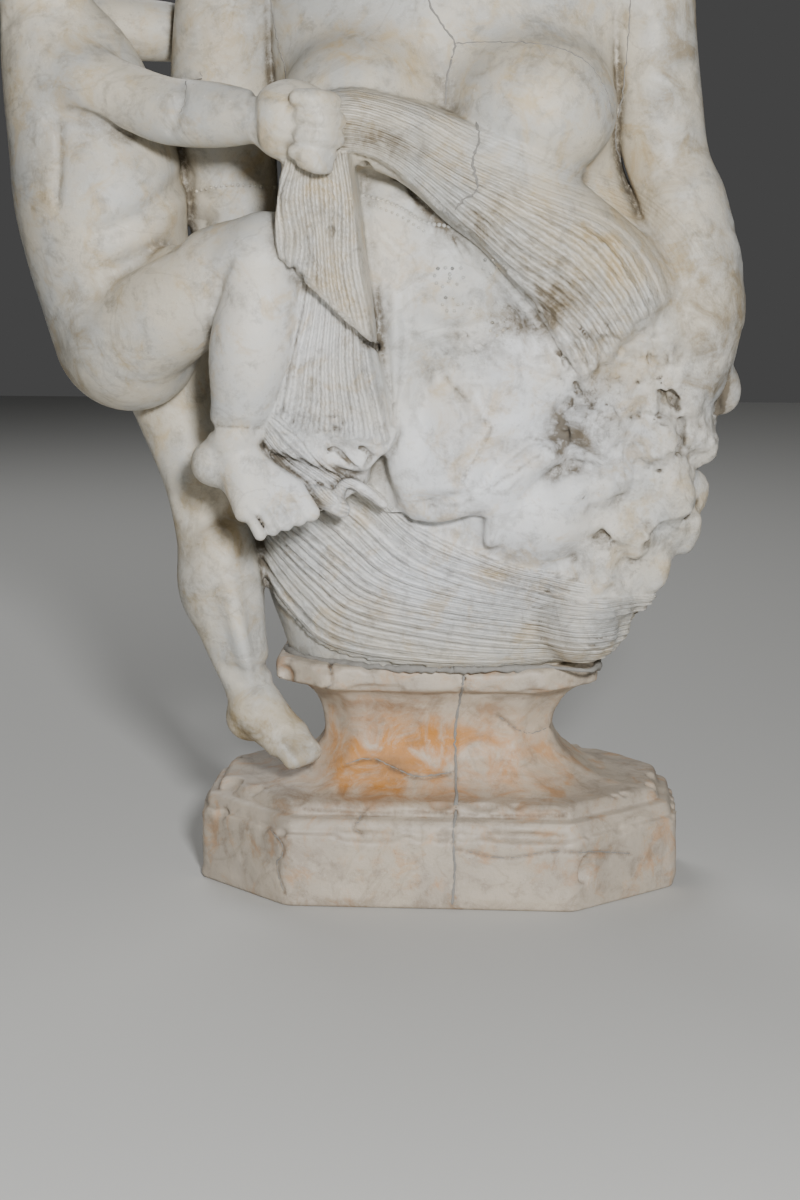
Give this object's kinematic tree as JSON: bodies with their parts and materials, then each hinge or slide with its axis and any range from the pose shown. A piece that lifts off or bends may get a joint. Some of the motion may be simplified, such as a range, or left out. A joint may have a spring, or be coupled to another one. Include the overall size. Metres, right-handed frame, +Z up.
{
  "type": "marble statue of a draped woman with a child on a plinth",
  "caption": "Half-length marble group: a draped woman with a bare child clinging to her side and pulling her shawl, seated on a separate moulded plinth with canted corners.",
  "frame": {"origin": "centre of the plinth's flat underside", "axes": "+Z up, -Y the way the woman faces, +X to the viewer's right"},
  "size_m": [0.7677, 0.4134, 1.2184],
  "materials": {
    "figure_marble": "honed marble, weathered, with yellow stains, mortar repairs and cracks",
    "plinth_marble": "honed marble with orange stains, pink veins and a mortar-filled crack"
  },
  "bodies": {
    "root": {"figure_group": "figure_marble", "plinth": "plinth_marble"}
  },
  "joints": []
}
